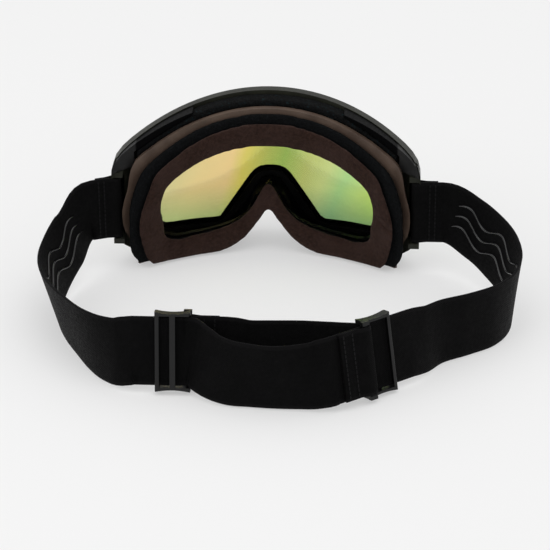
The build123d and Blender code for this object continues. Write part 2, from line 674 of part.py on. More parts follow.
for word, other, run, layer in (
    ("left", "right", LEFT_RUN, LEFT_LAYER),
    ("right", "left", RIGHT_RUN, RIGHT_LAYER),
):
    side = SIDE[word]
    pin, near_slider, far_slider = hem_plane(word), slider_plane(word), slider_plane(other)
    leave = pin.from_local_coords(Vector(HEM + 3, side * HEM_LAYER, 0))
    enter = near_slider.from_local_coords(Vector(-STRAIGHT, 0, 0))
    depart = near_slider.from_local_coords(Vector(STRAIGHT_BEYOND[word], 0, 0))
    arrive = far_slider.from_local_coords(Vector(SEWN_END, SEWN_BAR_Y - SEWN_WRAP, 0))
    lean = SLIDER_PLACE[word]["lean"]
    far_lean = SLIDER_PLACE[other]["lean"]
    outer_run = [(*leave, 0), *run, (*enter, lean)]
    inner_run = [(*depart, lean), *layer, (*arrive, far_lean)]
    sections = hem_sections(word)
    sections += course(outer_run, pin.x_dir, near_slider.x_dir, side, WEB_STEP)
    sections += course(inner_run, near_slider.x_dir, far_slider.x_dir * -1, side, WEB_STEP)
    with BuildPart() as strap:
        for section in sections:
            with BuildSketch(section):
                Rectangle(WEB_THICKNESS, WEB_WIDTH)
        loft(ruled=True)
    keep(strap.part, f"strap_{word}")
    low = -HEM_LAYER - (WEB_THICKNESS + STITCH_RAISE) / 2
    keep(pin.location * stitches(HEM_STITCHES, low, -low), f"hem_stitching_{word}")
    run_sections = course(outer_run, pin.x_dir, near_slider.x_dir, side, BEAD_STEP)
    first, last = BEAD_SPAN[word]
    keep(grip_beads(run_sections[first:last], side), f"grip_beads_{word}")
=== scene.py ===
import math

import bmesh
import bpy
import numpy as np
from mathutils import Matrix, Vector


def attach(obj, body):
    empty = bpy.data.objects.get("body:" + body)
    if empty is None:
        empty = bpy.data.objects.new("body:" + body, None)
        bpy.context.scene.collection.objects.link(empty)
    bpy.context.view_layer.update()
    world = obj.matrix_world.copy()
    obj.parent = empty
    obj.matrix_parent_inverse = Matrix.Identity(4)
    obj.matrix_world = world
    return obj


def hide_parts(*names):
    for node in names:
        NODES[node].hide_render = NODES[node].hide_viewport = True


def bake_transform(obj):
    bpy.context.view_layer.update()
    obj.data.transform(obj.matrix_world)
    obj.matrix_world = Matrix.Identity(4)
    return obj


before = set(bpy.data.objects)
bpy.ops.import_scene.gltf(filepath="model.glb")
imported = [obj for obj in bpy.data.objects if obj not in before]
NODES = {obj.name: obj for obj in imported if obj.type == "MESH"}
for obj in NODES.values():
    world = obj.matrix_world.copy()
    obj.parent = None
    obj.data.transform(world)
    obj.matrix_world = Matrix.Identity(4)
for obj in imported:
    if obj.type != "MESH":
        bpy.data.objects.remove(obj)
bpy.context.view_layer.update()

MM = 0.001
LENS_AXIS = 0.001  # Y of the upright axis that the lens curves round, in metres

# ---- Webbing, in millimetres: the same route as the CAD model's straps ----------------------------
WEB_WIDTH = 40.0
WEB_THICKNESS = 1.6
PIN = {"left": (90.6, -57.0), "right": (-90.6, -57.0)}
PIN_WRAP = 2.15
HEM = 13.0
HEM_NECK = 6.5
HEM_SHOULDER = 1.2
HEM_TAIL = 3.0  # straight webbing beyond the hem
HEM_LAYER = WEB_THICKNESS / 2 + 0.01
WEB_STEP = 2.5  # between the sections along a curved stretch
STRAP_HEIGHT = 41.0
HEM_ANGLE = {"left": 22.0, "right": 180.0}
SIDE = {"left": 1, "right": -1}
SLIDER = {
    "left": {"centre": (44.0, 91.5, 23.85), "heading": 180.0, "lean": -13.0},
    "right": {"centre": (-70.0, 89.5, 23.3), "heading": 37.0, "lean": -12.0},
}
SEWN_BAR_Y = 4.4
SEWN_WRAP = 2.05
SEWN_TURN = 7.9  # X where the webbing starts to turn round the sewn bar
SEWN_LENGTH = 26.0
SEWN_END = 30.0  # where the sewn end meets the rest of its strap
LAYER_GAP = 0.02
STRAIGHT = 23.0
STRAIGHT_BEYOND = {"left": 6.0, "right": 3.0}
RUN = {
    "left": [
        (117.4, -31.0, 30.0, 11),
        (123.3, -11.0, 23.3, 15),
        (124.7, 6.0, 20.3, 16),
        (121.6, 24.0, 19.8, 15),
        (115.0, 40.5, 19.9, 13),
        (105.6, 57.0, 20.0, 10),
        (93.5, 74.7, 20.1, 4),
        (83.5, 84.6, 20.6, -3),
        (75.0, 90.3, 21.9, -9),
    ],
    "right": [
        (-126.5, -46.0, 34.6, 7),
        (-138.0, -32.0, 30.0, 11),
        (-146.3, -16.0, 25.5, 10),
        (-149.6, 2.0, 22.0, 7),
        (-146.3, 20.0, 20.4, 4),
        (-137.0, 34.5, 20.1, 1),
        (-122.5, 45.5, 20.1, 0),
        (-106.5, 55.5, 20.3, -3),
        (-96.5, 68.3, 21.7, -8),
    ],
}
LAYER = {
    "left": [
        (33.0, 93.1, 24.5, -13),
        (28.6, 98.2, 23.8, -12),
        (22.5, 103.0, 21.8, -9),
        (13.0, 108.0, 20.5, -5),
        (1.0, 110.8, 20.3, 0),
        (-13.0, 112.7, 20.3, 2),
        (-27.0, 112.3, 20.7, -2),
        (-37.5, 111.6, 21.6, -8),
    ],
    "right": [
        (-61.0, 92.5, 22.9, -12),
        (-52.5, 90.4, 22.0, -10),
        (-43.0, 88.0, 21.2, -9),
        (-28.0, 86.8, 21.0, -9),
        (-10.0, 87.6, 21.0, -10),
        (3.0, 88.9, 21.4, -12),
    ],
}

# ---- Silicone beads on the wearer's side of the straps, in millimetres ----------------------------
BEAD_WIDTH = 1.6
BEAD_HEIGHT = 0.8
BEAD_SPACING = 7.5
BEAD_WAVE = 30.0
BEAD_SWING = 3.2
BEAD_SIDES = 10
BEAD_SPAN = {"left": (5, 46), "right": (3, 52)}  # first and last step along the webbing


# ---- Camera, floor and light ----------------------------------------------------------------------
VIEW_AZIMUTH = 183.5  # degrees
VIEW_ELEVATION = 28.0
VIEW_TARGET = (-6.0, 40.0, 30.0)  # millimetres
VIEW_DISTANCE = 1.5
VIEW_ANGLE = 12.03
VIEW_SHIFT = (0.0145, 0.0455)
VIEW_ROLL = -0.5
FLOOR_ALBEDO = 0.48
FLOOR_GLOW = 0.4
FLOOR_DROP = 0.0004
STUDIO_LIGHT = 0.9


def aim(obj, target):
    """Turn an object's -Z axis to a point."""
    obj.rotation_euler = (Vector(target) - obj.location).to_track_quat("-Z", "Y").to_euler()


def make_camera():
    """Camera behind and above the goggles."""
    azimuth, elevation = math.radians(VIEW_AZIMUTH), math.radians(VIEW_ELEVATION)
    target = Vector(VIEW_TARGET) * MM
    data = bpy.data.cameras.new("camera")
    data.lens_unit = "FOV"
    data.angle = math.radians(VIEW_ANGLE)
    data.shift_x, data.shift_y = VIEW_SHIFT
    camera = bpy.data.objects.new("camera", data)
    bpy.context.scene.collection.objects.link(camera)
    flat = math.cos(elevation)
    back = Vector((math.sin(azimuth) * flat, -math.cos(azimuth) * flat, math.sin(elevation)))
    camera.location = target + back * VIEW_DISTANCE
    roll = Matrix.Rotation(math.radians(VIEW_ROLL), 3, "Z")
    camera.rotation_euler = ((-back).to_track_quat("-Z", "Y").to_matrix() @ roll).to_euler()
    bpy.context.scene.camera = camera


def area_light(name, place, target, size, power):
    """Soft square light, in metres and watts."""
    data = bpy.data.lights.new(name, "AREA")
    data.shape = "SQUARE"
    data.size = size
    data.energy = power
    light = bpy.data.objects.new(name, data)
    light.location = place
    aim(light, target)
    bpy.context.scene.collection.objects.link(light)


def make_studio():
    """Pale floor that glows a little, so that its shadows stay faint, pale surroundings and soft lights."""
    bpy.ops.mesh.primitive_plane_add(size=12, location=(0, 0, -FLOOR_DROP))
    floor = bpy.context.object
    floor.name = "floor"
    material = bpy.data.materials.new("floor")
    material.use_nodes = True
    shader = material.node_tree.nodes["Principled BSDF"]
    shader.inputs["Base Color"].default_value = (FLOOR_ALBEDO, FLOOR_ALBEDO, FLOOR_ALBEDO, 1)
    shader.inputs["Roughness"].default_value = 0.9
    shader.inputs["Specular IOR Level"].default_value = 0.0
    shader.inputs["Emission Color"].default_value = (1, 1, 1, 1)
    shader.inputs["Emission Strength"].default_value = FLOOR_GLOW
    floor.data.materials.append(material)
    world = bpy.data.worlds.new("studio")
    world.use_nodes = True
    world.node_tree.nodes["Background"].inputs[0].default_value = (1, 1, 1, 1)
    world.node_tree.nodes["Background"].inputs[1].default_value = STUDIO_LIGHT
    bpy.context.scene.world = world
    area_light("key", (-0.2, 0.1, 1.6), (0, 0, 0.03), 1.2, 4)
    area_light("side", (1.1, 0.7, 0.8), (0.06, 0.04, 0.03), 0.7, 2)
    bpy.context.scene.view_settings.view_transform = "Standard"


# ---- Materials ------------------------------------------------------------------------------------
BLACK = (0.0012, 0.0012, 0.0014)


class Shader:
    """A Principled material built up node by node."""

    def __init__(self, name, roughness, **sockets):
        self.material = bpy.data.materials.new(name)
        self.material.use_nodes = True
        self.tree = self.material.node_tree
        self.bsdf = self.tree.nodes["Principled BSDF"]
        self.bsdf.inputs["Roughness"].default_value = roughness
        for socket, value in sockets.items():
            self.bsdf.inputs[socket.replace("_", " ")].default_value = value
        self.where = self.add("ShaderNodeTexCoord").outputs["Object"]
        self.bump = None

    def add(self, kind, **inputs):
        node = self.tree.nodes.new(kind)
        for socket, value in inputs.items():
            self.put(node.inputs[socket.replace("_", " ")], value)
        return node

    def put(self, socket, value):
        if isinstance(value, bpy.types.NodeSocket):
            self.tree.links.new(value, socket)
        else:
            socket.default_value = value

    def maths(self, operation, *values):
        node = self.tree.nodes.new("ShaderNodeMath")
        node.operation = operation
        for socket, value in zip(node.inputs, values):
            self.put(socket, value)
        return node.outputs[0]

    def noise(self, scale, detail=3.0, roughness=0.5):
        node = self.add("ShaderNodeTexNoise", Scale=scale, Detail=detail, Roughness=roughness)
        self.put(node.inputs["Vector"], self.where)
        return node.outputs["Fac"]

    def cells(self, scale):
        node = self.add("ShaderNodeTexVoronoi", Scale=scale)
        self.put(node.inputs["Vector"], self.where)
        return node.outputs["Distance"]

    def ramp(self, value, *stops):
        node = self.tree.nodes.new("ShaderNodeValToRGB")
        self.put(node.inputs[0], value)
        elements = node.color_ramp.elements
        while len(elements) < len(stops):
            elements.new(0.5)
        for element, (place, colour) in zip(elements, stops):
            element.position = place
            element.color = (*colour, 1)
        return node.outputs["Color"]

    def remap(self, value, low, high, new_low=0.0, new_high=1.0):
        node = self.tree.nodes.new("ShaderNodeMapRange")
        for socket, given in zip(node.inputs, (value, low, high, new_low, new_high)):
            self.put(socket, given)
        return node.outputs["Result"]

    def mix(self, share, first, second):
        node = self.tree.nodes.new("ShaderNodeMix")
        node.data_type = "RGBA"
        colours = [socket for socket in node.inputs if socket.type == "RGBA"]
        self.put(node.inputs[0], share)
        for socket, value in zip(colours, (first, second)):
            self.put(socket, (*value, 1) if isinstance(value, tuple) else value)
        return node.outputs["Result"] if node.outputs[0].type != "RGBA" else node.outputs[0]

    def colour(self, value):
        self.put(self.bsdf.inputs["Base Color"], value)

    def rough(self, value):
        self.put(self.bsdf.inputs["Roughness"], value)

    def relief(self, height, distance, strength=1.0):
        """Add a bump layer of so many metres."""
        node = self.add("ShaderNodeBump", Height=height, Distance=distance, Strength=strength)
        if self.bump:
            self.put(node.inputs["Normal"], self.bump)
        self.bump = node.outputs["Normal"]
        self.put(self.bsdf.inputs["Normal"], self.bump)

    def axes(self, where=None):
        node = self.add("ShaderNodeSeparateXYZ", Vector=where or self.where)
        return node.outputs


def moulded(name, dark, light, roughness, grain=2400, specular=0.4, coat=0.0, metallic=0.0, painted_shade=None):
    """Moulded plastic or plated metal with a fine grain, cloudy gloss and lighter, worn high spots, and
    optional painted shade: black with a weaker reflection over a masked share.
    """
    s = Shader(name, roughness, Coat_Weight=coat, Coat_Roughness=0.25)
    s.bsdf.inputs["Specular IOR Level"].default_value = specular
    s.bsdf.inputs["Metallic"].default_value = metallic
    cloud = s.noise(60, 4, 0.6)
    base = s.mix(s.remap(cloud, 0.35, 0.65), dark, light)
    worn = tuple(min(1.0, 1.5 * channel) for channel in light)
    finish = s.mix(s.remap(s.noise(420, 5, 0.7), 0.6, 0.75, 0, 0.5), base, worn)
    # Painted shade: the masked share, which lies in shadow in a recess or under the rim, turns black and
    # reflects less.
    if painted_shade:
        share = painted_shade(s)
        finish = s.mix(share, finish, BLACK)
        s.put(s.bsdf.inputs["Specular IOR Level"], s.remap(share, 0, 1, specular, 0.03))
    s.colour(finish)
    s.rough(s.remap(s.noise(900, 2), 0.3, 0.7, roughness - 0.07, roughness + 0.09))
    s.relief(s.noise(grain, 2), 0.00005, 0.5)
    s.relief(s.noise(140, 2), 0.00012, 0.35)
    return s.material


def inner_wall(s):
    """Share of the walls round the eyes that lies below the brow and between the frame's sides, in the
    recess that gets painted shade.
    """
    place = s.axes()
    near = s.remap(s.maths("ABSOLUTE", place["X"]), 0.073, 0.07)
    return s.maths("MULTIPLY", near, s.remap(place["Z"], 0.062, 0.058))


def behind_lens(s):
    """Share of the frame's inner wall that lies behind the lens, in the recess that gets painted shade."""
    place = s.axes()
    over = s.maths("SUBTRACT", place["Y"], LENS_AXIS)
    square = s.maths("ADD", s.maths("MULTIPLY", place["X"], place["X"]), s.maths("MULTIPLY", over, over))
    return s.maths("MULTIPLY", inner_wall(s), s.remap(s.maths("SQRT", square), 0.1105, 0.1095))


def under_rim(s):
    """Share of a corner cover's long arm, which lies in the shadow under the rim."""
    return s.remap(s.maths("ABSOLUTE", s.axes()["X"]), 0.0795, 0.0785)


def fleece_material():
    """Brushed fleece: soft tufts, fine fibres and a light nap."""
    s = Shader("fleece", 0.95, Sheen_Weight=0.09, Sheen_Roughness=0.4, Specular_IOR_Level=0.08)
    s.bsdf.inputs["Sheen Tint"].default_value = (0.9, 0.66, 0.6, 1)
    tufts = s.noise(520, 5, 0.7)
    patches = s.noise(60, 4, 0.6)
    base = s.mix(s.remap(tufts, 0.3, 0.7), (0.012, 0.006, 0.0045), (0.04, 0.021, 0.0155))
    s.colour(s.mix(s.remap(patches, 0.35, 0.7, 0, 0.5), base, (0.048, 0.028, 0.024)))
    s.relief(tufts, 0.0011, 0.9)
    s.relief(s.noise(1900, 3, 0.75), 0.0005, 0.9)
    return s.material


def foam_material(name, dark, light, glint_colour, scale):
    """Open-cell foam: dark pores between lighter walls, with a few painted glints."""
    s = Shader(name, 0.9, Specular_IOR_Level=0.06)
    pores = s.cells(scale)
    walls = s.ramp(pores, (0.1, dark), (0.6, light))
    # Painted highlight: a few spots take a lighter glint colour in place of the foam's own.
    glint = s.remap(s.noise(scale * 0.4, 3, 0.6), 0.58, 0.74)
    s.colour(s.mix(glint, walls, glint_colour))
    s.relief(s.maths("MULTIPLY", pores, -1.0), 0.0007, 0.9)
    s.relief(s.noise(scale * 2.5, 2), 0.0002, 0.6)
    return s.material


def webbing_material():
    """Elastic webbing: fine ribs along its length, a tight weave across them and plain edges."""
    s = Shader("webbing", 0.6, Sheen_Weight=0.012, Sheen_Roughness=0.35, Specular_IOR_Level=0.05)
    s.bsdf.inputs["Sheen Tint"].default_value = (0.85, 0.8, 0.85, 1)
    plan = s.axes(s.add("ShaderNodeUVMap").outputs[0])
    along, over = plan["X"], plan["Y"]
    rib = s.maths("SINE", s.maths("MULTIPLY", over, 2 * math.pi / 0.0013))
    phase = s.maths("MULTIPLY", s.maths("SIGN", rib), 0.5 * math.pi)
    pick = s.maths("SINE", s.maths("ADD", s.maths("MULTIPLY", along, 2 * math.pi / 0.0011), phase))
    weave = s.maths("ADD", s.maths("ABSOLUTE", rib), s.maths("MULTIPLY", pick, 0.45))
    edge = s.remap(s.maths("ABSOLUTE", over), 0.0176, 0.0183)
    cloud = s.noise(70, 5, 0.65)
    thread = s.mix(s.remap(weave, -0.4, 1.3), (0.0004, 0.0004, 0.00045), (0.0018, 0.00175, 0.0019))
    dusty = s.mix(s.remap(cloud, 0.42, 0.75, 0, 0.55), thread, (0.0032, 0.003, 0.0033))
    s.colour(s.mix(edge, dusty, (0.004, 0.0038, 0.0041)))
    s.rough(s.remap(s.noise(500, 2), 0.3, 0.7, 0.5, 0.66))
    s.relief(weave, 0.00022, 0.8)
    s.relief(s.noise(2600, 2), 0.00006, 0.5)
    return s.material


def lens_material():
    """Tinted outer lens, whose mirror coating runs from peach through yellow to green in slanted bands,
    with painted shade that darkens it towards its bottom.
    """
    s = Shader("lens", 0.05, IOR=1.25, Metallic=0.08, Coat_Weight=0.2, Coat_Roughness=0.03)
    s.bsdf.inputs["Transmission Weight"].default_value = 0.97
    place = s.axes()
    slant = s.maths("ADD", place["X"], s.maths("MULTIPLY", s.maths("SUBTRACT", place["Z"], 0.034), 0.32))
    wobble = s.maths("MULTIPLY", s.maths("SUBTRACT", s.noise(16, 2), 0.5), 0.012)
    across = s.remap(s.maths("ADD", slant, wobble), 0.066, -0.066)
    sweep = s.ramp(
        across,
        (0.0, (0.8, 0.72, 0.34)),
        (0.15, (0.93, 0.73, 0.33)),
        (0.28, (0.96, 0.71, 0.32)),
        (0.345, (0.82, 0.7, 0.15)),
        (0.44, (0.58, 0.63, 0.15)),
        (0.53, (0.42, 0.6, 0.14)),
        (0.66, (0.62, 0.67, 0.21)),
        (0.76, (0.7, 0.79, 0.3)),
        (0.85, (0.5, 0.79, 0.31)),
        (0.93, (0.66, 0.88, 0.26)),
        (1.0, (0.66, 0.9, 0.2)),
    )
    # Painted shade: from 32 mm down to 12 mm the lens's colour is mixed towards darker greens.
    low = s.remap(place["Z"], 0.032, 0.012)
    shade = s.ramp(across, (0.1, (0.5, 0.7, 0.28)), (0.5, (0.3, 0.45, 0.15)), (0.85, (0.2, 0.38, 0.2)))
    s.colour(s.mix(s.maths("MULTIPLY", low, 0.75), sweep, shade))
    return s.material


def inner_lens_material():
    """Clear inner lens with a faint, patchy trace of the foam's dust."""
    s = Shader("inner_lens", 0.03, IOR=1.2)
    s.bsdf.inputs["Transmission Weight"].default_value = 1.0
    s.colour(s.mix(s.remap(s.noise(35, 3), 0.4, 0.7), (0.97, 0.98, 0.96), (0.93, 0.95, 0.92)))
    return s.material


def make_materials():
    """Every material by name."""
    return {
        # Painted shade: black on the frame's and the flange's inner walls round the eyes, and on the corner
        # covers' long arms under the rim.
        "frame": moulded(
            "frame", (0.014, 0.0145, 0.0105), (0.024, 0.025, 0.018), 0.4, specular=0.15, painted_shade=behind_lens
        ),
        "flange": moulded(
            "flange", (0.072, 0.048, 0.036), (0.115, 0.08, 0.06), 0.45, specular=0.3, painted_shade=inner_wall
        ),
        "cover": moulded(
            "cover", (0.009, 0.009, 0.009), (0.017, 0.017, 0.017), 0.42, specular=0.15, painted_shade=under_rim
        ),
        "slider": moulded(
            "slider", (0.0015, 0.0015, 0.0016), (0.0034, 0.0034, 0.0036), 0.36, 1800, 0.3
        ),
        "carrier": moulded("carrier", BLACK, (0.003, 0.003, 0.003), 0.5, specular=0.1),
        "gasket": foam_material("gasket", (0.0006, 0.0006, 0.0006), BLACK, (0.003, 0.003, 0.003), 3000),
        "silicone": moulded(
            "silicone", (0.003, 0.003, 0.0034), (0.0055, 0.0055, 0.006), 0.22, 1500, coat=0.35
        ),
        "magnet": moulded("magnet", (0.5, 0.5, 0.48), (0.62, 0.61, 0.58), 0.32, metallic=1.0),
        "pin": moulded("pin", (0.1, 0.1, 0.1), (0.14, 0.14, 0.14), 0.35, metallic=1.0),
        "thread": moulded("thread", (0.004, 0.004, 0.0042), (0.008, 0.008, 0.0085), 0.65, 3000, 0.15),
        "fleece": fleece_material(),
        "foam": foam_material(
            "foam", (0.0008, 0.0009, 0.001), (0.0055, 0.006, 0.0065), (0.012, 0.013, 0.015), 1500
        ),
        "vent_foam": foam_material(
            "vent_foam", BLACK, (0.006, 0.0062, 0.0064), (0.01, 0.021, 0.025), 1100
        ),
        "webbing": webbing_material(),
        "lens": lens_material(),
        "inner_lens": inner_lens_material(),
    }


# ---- CAD nodes that stay: rounded edges and a material --------------------------------------------
def finish_node(name, material, bevel=0.0):
    """Give a rigid CAD node its material, rounded edges and smooth shading."""
    node = NODES[name]
    node.data.materials.clear()
    node.data.materials.append(material)
    for polygon in node.data.polygons:
        polygon.use_smooth = True
    weld = node.modifiers.new("weld", "WELD")
    weld.merge_threshold = 0.00002
    flat = node.modifiers.new("flat", "DECIMATE")
    flat.decimate_type = "DISSOLVE"
    flat.angle_limit = math.radians(1.0)
    if bevel:
        edge = node.modifiers.new("edge", "BEVEL")
        edge.width = bevel
        edge.segments = 3
        edge.limit_method = "ANGLE"
        edge.angle_limit = math.radians(40)
        edge.harden_normals = True
        edge.use_clamp_overlap = True
    shade = node.modifiers.new("shade", "WEIGHTED_NORMAL")
    shade.keep_sharp = True


# ---- Building meshes ------------------------------------------------------------------------------
def new_piece(name, vertices, faces, material):
    """Mesh object from vertices in metres."""
    mesh = bpy.data.meshes.new(name)
    mesh.from_pydata([tuple(v) for v in vertices], [], faces)
    mesh.materials.append(material)
    for polygon in mesh.polygons:
        polygon.use_smooth = True
    piece = bpy.data.objects.new(name, mesh)
    bpy.context.scene.collection.objects.link(piece)
    return piece


def tube(rings, closed=False):
    """Faces that join rings of equal length, in order, with their ends capped unless closed."""
    count, size = len(rings), len(rings[0])
    vertices = [v for ring in rings for v in ring]
    faces = []
    for k in range(count if closed else count - 1):
        a, b = k * size, (k + 1) % count * size
        for n in range(size):
            m = (n + 1) % size
            faces.append((a + n, a + m, b + m, b + n))
    if not closed:
        faces.append(tuple(reversed(range(size))))
        faces.append(tuple(range((count - 1) * size, count * size)))
    return vertices, faces


# ---- Soft pieces ----------------------------------------------------------------------------------
SEAT_NEAR = 0.0012  # a soft piece is held where it lies this close to its seat
FLEECE_SEAT = (0.029, 0.113)  # Y of the upright axis and radius of the surface it is fixed to, in metres
FOAM_SEAT = (0.033, 0.122)
NOSE_CREASE = ((0.0012, 0.029), (0.0008, 0.05))  # X and Z of each end
SIDE_CREASE = ((-0.0625, 0.0375), (-0.078, 0.029))
FLEECE_AXIS = 0.032
FLEECE_FACE = 0.1145  # radius of the face that touches the wearer
PRESS_DEPTH = 0.003
RING_REACH = 0.09  # half-width in which a soft ring's edges are looked for
RING_COLUMN = 0.003
RING_WINDOW = 0.0025
RING_SIDE = 0.08  # the brow's stretch has faded out here
BROW_LOW = 0.06  # and here
BROW_BLEND = 0.015
LOBE_INNER = 0.055  # the lower ends spread from here outward
LOBE_BLEND = 0.015
LOBE_HEIGHT = 0.032
LOBE_FOOT = 0.018


def apply_modifiers(piece):
    """Replace an object's mesh by what its modifiers make of it."""
    made = piece.evaluated_get(bpy.context.evaluated_depsgraph_get())
    mesh = bpy.data.meshes.new_from_object(made)
    piece.modifiers.clear()
    piece.data = mesh


def get_points(mesh):
    points = np.empty(len(mesh.vertices) * 3)
    mesh.vertices.foreach_get("co", points)
    return points.reshape(-1, 3)


def set_points(mesh, points):
    mesh.vertices.foreach_set("co", points.ravel())
    mesh.update()


def relax(mesh, rounds):
    """Round every corner a little by moving each vertex towards the middle of its neighbours."""
    count = len(mesh.vertices)
    ends = np.empty(len(mesh.edges) * 2, dtype=int)
    mesh.edges.foreach_get("vertices", ends)
    first, second = ends.reshape(-1, 2).T
    number = np.bincount(first, minlength=count) + np.bincount(second, minlength=count)
    for _ in range(rounds):
        points = get_points(mesh)
        total = np.zeros_like(points)
        np.add.at(total, first, points[second])
        np.add.at(total, second, points[first])
        set_points(mesh, points * 0.5 + total / number[:, None] * 0.5)


def swell(piece, held, most):
    """Blow a closed soft piece up as cloth under pressure, with some vertices held, and cap the move."""
    group = piece.vertex_groups.new(name="held")
    group.add([int(k) for k in held], 1.0, "REPLACE")
    start = get_points(piece.data)
    cloth = piece.modifiers.new("cloth", "CLOTH")
    cloth.settings.quality = 4
    cloth.settings.mass = 0.05
    cloth.settings.tension_stiffness = 12
    cloth.settings.compression_stiffness = 12
    cloth.settings.bending_stiffness = 0.4
    cloth.settings.use_pressure = True
    cloth.settings.uniform_pressure_force = 4
    cloth.settings.effector_weights.gravity = 0
    cloth.settings.vertex_group_mass = "held"
    cloth.collision_settings.use_collision = False
    for frame_number in range(1, 21):
        bpy.context.scene.frame_set(frame_number)
    made = piece.evaluated_get(bpy.context.evaluated_depsgraph_get())
    moved = get_points(made.to_mesh()) - start
    made.to_mesh_clear()
    piece.modifiers.clear()
    piece.vertex_groups.clear()
    bpy.context.scene.frame_set(1)
    length = np.linalg.norm(moved, axis=1)[:, None]
    shorter = most * np.tanh(length / most) / np.maximum(length, 1e-9)
    set_points(piece.data, start + moved * shorter)


def soft_piece(node, material, voxel, inset, rounds, most, held=None):
    """Soft stand-in for a CAD node: remeshed, rounded and swollen."""
    source = NODES[node]
    piece = bpy.data.objects.new(f"{node}_soft", source.data.copy())
    bpy.context.scene.collection.objects.link(piece)
    weld = piece.modifiers.new("weld", "WELD")
    weld.merge_threshold = 0.00002
    remesh = piece.modifiers.new("remesh", "REMESH")
    remesh.mode = "VOXEL"
    remesh.voxel_size = voxel
    apply_modifiers(piece)
    mesh = piece.data
    mesh.materials.clear()
    mesh.materials.append(material)
    relax(mesh, rounds)
    normals = np.empty(len(mesh.vertices) * 3)
    mesh.vertices.foreach_get("normal", normals)
    set_points(mesh, get_points(mesh) - normals.reshape(-1, 3) * inset)
    points = get_points(mesh)
    still = np.flatnonzero(held(points)) if held else []
    swell(piece, still, most)
    relax(piece.data, 1)
    for polygon in piece.data.polygons:
        polygon.use_smooth = True
    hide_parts(node)
    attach(piece, "goggles")
    return piece


def on_seat(axis, radius):
    """Test for points close to an upright cylinder."""
    return lambda points: np.abs(np.hypot(points[:, 0], points[:, 1] - axis) - radius) < SEAT_NEAR


def press(piece, start, end, width, depth):
    """Crease in the wearer's side of a soft piece, along a line in the front view."""
    start, end = np.array(start), np.array(end)
    points = get_points(piece.data)
    flat = points[:, [0, 2]]
    way = end - start
    share = np.clip((flat - start) @ way / (way @ way), 0, 1)
    away = np.linalg.norm(flat - start - share[:, None] * way, axis=1)
    fade = np.minimum(1, 4 * np.minimum(share, 1 - share) + 0.25)
    radius = np.hypot(points[:, 0], points[:, 1] - FLEECE_AXIS)
    back = np.clip((FLEECE_FACE - radius) / PRESS_DEPTH, 0, 1)
    points[:, 1] -= depth * np.exp(-((away / width) ** 2)) * fade * back
    set_points(piece.data, points)


def stretch(piece, raised, lowered, rest, spread):
    """Raise a soft ring's top edge, lower the top of its opening, and lower and spread its lower ends."""
    points = get_points(piece.data)
    x, z = points[:, 0], points[:, 2].copy()
    columns = np.arange(-RING_REACH, RING_REACH + RING_COLUMN / 2, RING_COLUMN)
    low, high = [], []
    for column in columns:
        here = z[(z > BROW_LOW) & (np.abs(x - column) < RING_WINDOW)]
        low.append(here.min() if len(here) else BROW_LOW)
        high.append(here.max() if len(here) else BROW_LOW + MM / 2)
    even = np.ones(5) / 5
    bottom, top = (
        np.interp(x, columns, np.convolve(np.pad(edge, 2, "edge"), even, "valid")) for edge in (low, high)
    )
    share = np.clip((z - bottom) / (top - bottom), 0, 1)
    fade = np.clip(1 - (np.abs(x) / RING_SIDE) ** 4, 0, 1) * np.clip((z - BROW_LOW) / BROW_BLEND, 0, 1)
    points[:, 2] += fade * (share * raised - (1 - share) * lowered)
    lowest = z.min()
    points[:, 2] -= (lowest - rest) * np.clip(1 - (z - lowest) / LOBE_FOOT, 0, 1)
    outward = np.clip((np.abs(x) - LOBE_INNER) / LOBE_BLEND, 0, 1) * np.clip(1 - z / LOBE_HEIGHT, 0, 1)
    points[:, 0] += spread * np.sign(x) * outward
    set_points(piece.data, points)


def subdivide(piece):
    smooth = piece.modifiers.new("smooth", "SUBSURF")
    smooth.levels = 1
    smooth.render_levels = 1


# ---- Lenses ---------------------------------------------------------------------------------------
LENS_STRIP = 0.003  # width of the upright strips that a lens is cut into, so that it can bend
LENS_STRIPS = 30  # on each side


def front_outline(name, radius):
    """Outline of a curved CAD sheet's front face: points (x, z) in order round it, evened out."""
    corners = {}
    for vertex in NODES[name].data.vertices:
        x, y, z = vertex.co
        if abs(math.hypot(x, y - LENS_AXIS) - radius) < 0.0001:
            corners[(round(x, 4), round(z, 4))] = (x, z)
    loop = sorted(corners.values(), key=lambda p: math.atan2(p[0], p[1] - 0.06))
    fine = []
    count = len(loop)
    for k in range(count):
        a, b, c, d = (np.array(loop[(k + n) % count]) for n in (-1, 0, 1, 2))
        for t in (0.0, 0.25, 0.5, 0.75):
            square, cube = 2 * a - 5 * b + 4 * c - d, 3 * b - a - 3 * c + d
            fine.append(0.5 * (2 * b + (c - a) * t + square * t * t + cube * t**3))
    return fine


